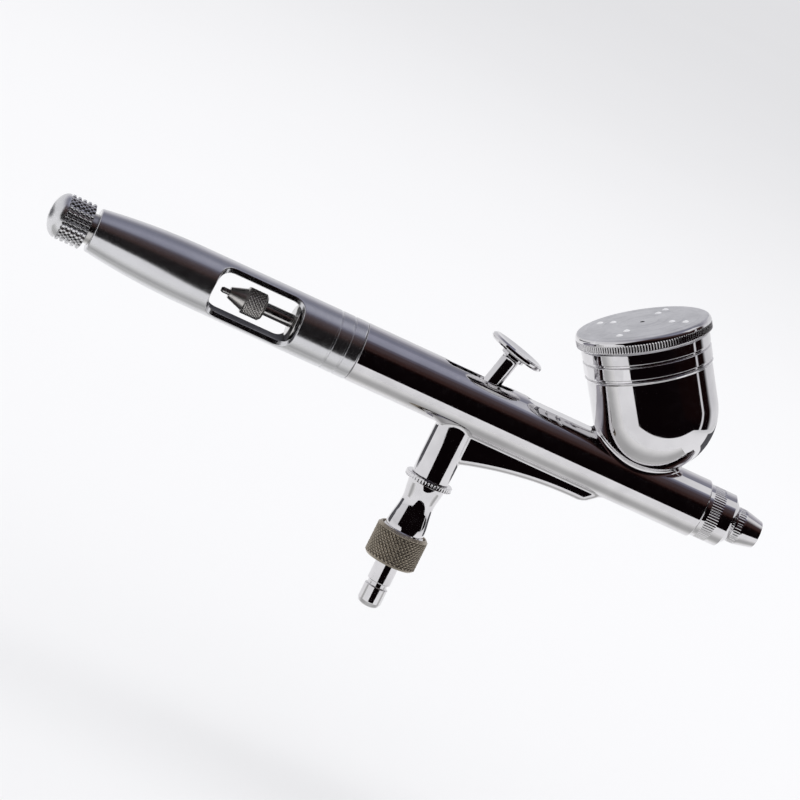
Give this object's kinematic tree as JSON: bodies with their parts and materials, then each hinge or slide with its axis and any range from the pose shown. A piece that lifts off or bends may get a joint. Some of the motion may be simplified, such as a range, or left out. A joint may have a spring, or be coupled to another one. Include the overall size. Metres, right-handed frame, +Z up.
{
  "type": "airbrush gun",
  "caption": "Dual-action gravity-feed airbrush with a lidded paint cup, finger trigger, cut-away handle, preset knob and quick-release air plug.",
  "frame": {"origin": "middle of the air plug's nipple, on the air valve's axis", "axes": "+X along the needle towards the nose, +Z up the air valve towards the trigger, +Y to the gun's left"},
  "size_m": [0.1597, 0.028, 0.084],
  "materials": {
    "chrome": "mirror polished chrome plate on brass",
    "satin": "satin chrome plate, finely brushed",
    "collar": "warm grey nickel plate, knurled",
    "brass": "machined",
    "chromed_works": "plated, turned",
    "steel": "polished stainless steel",
    "ptfe": "white low-friction plastic",
    "rubber": "black nitrile"
  },
  "bodies": {
    "barrel": {"body": "chrome", "paint_cup": "chrome", "nozzle": "brass", "nozzle_seal": "ptfe", "nozzle_cap": "chrome", "needle_packing": "ptfe", "packing_screw": "brass", "spring_case": "chromed_works", "needle_spring": "steel", "handle": "satin", "valve_body": "chrome", "valve_body_ring": "ptfe", "valve_spring": "steel", "valve_guide_screw": "brass", "plug_collar": "collar", "plug_washer": "ptfe", "plug_nipple": "chrome"},
    "valve_plunger": {"valve_piston": "brass", "piston_ring": "rubber", "valve_shaft": "steel", "shaft_ring": "rubber"},
    "trigger": {"trigger_stem": "chrome", "trigger_pad": "chrome"},
    "needle_set": {"needle": "steel", "needle_guide": "chromed_works", "lever_pin": "steel", "chuck_nut": "chromed_works"},
    "lever": {"aux_lever": "steel"},
    "preset_screw": {"preset_rod": "chromed_works", "preset_ring": "rubber"},
    "knob": {"preset_knob": "satin"},
    "lid": {"cup_lid": "satin"},
    "crown": {"needle_cap": "chrome"}
  },
  "joints": [
    {"name": "trigger_press", "type": "slide", "parent": "barrel", "child": "valve_plunger", "axis": [0, 0, -1], "range_m": [0, 0.0024], "stiffness_N_per_m": 900, "springref_m": -0.001, "deforming": ["valve_spring"]},
    {"name": "trigger_pull", "type": "hinge", "parent": "valve_plunger", "child": "trigger", "pos_m": [0, 0, 0.03575], "axis": [0, -1, 0], "range_deg": [0, 30]},
    {"name": "needle_pull", "type": "slide", "parent": "barrel", "child": "needle_set", "axis": [-1, 0, 0], "range_m": [0, 0.0045], "deforming": ["needle_spring"]},
    {"name": "lever_swing", "type": "hinge", "parent": "needle_set", "child": "lever", "pos_m": [-0.0065, 0, 0.03895], "axis": [0, -1, 0], "range_deg": [0, 5]},
    {"name": "preset_travel", "type": "slide", "parent": "barrel", "child": "preset_screw", "axis": [-1, 0, 0], "range_m": [0, 0.005]},
    {"name": "preset_turn", "type": "hinge", "parent": "preset_screw", "child": "knob", "pos_m": [-0.089, 0, 0.04135], "axis": [-1, 0, 0], "range_deg": [0, 3600]},
    {"name": "lid_lift", "type": "slide", "parent": "barrel", "child": "lid", "axis": [-0.5736, 0, 0.8192], "range_m": [0, 0.012]},
    {"name": "needle_cap_off", "type": "slide", "parent": "barrel", "child": "crown", "axis": [1, 0, 0], "range_m": [0, 0.008]}
  ],
  "couplings": [
    {"joint": "trigger_pull", "follows": "needle_pull", "rad_per_m": 116.35},
    {"joint": "lever_swing", "follows": "needle_pull", "rad_per_m": 19.39},
    {"joint": "preset_turn", "follows": "preset_travel", "rad_per_m": 12566}
  ]
}
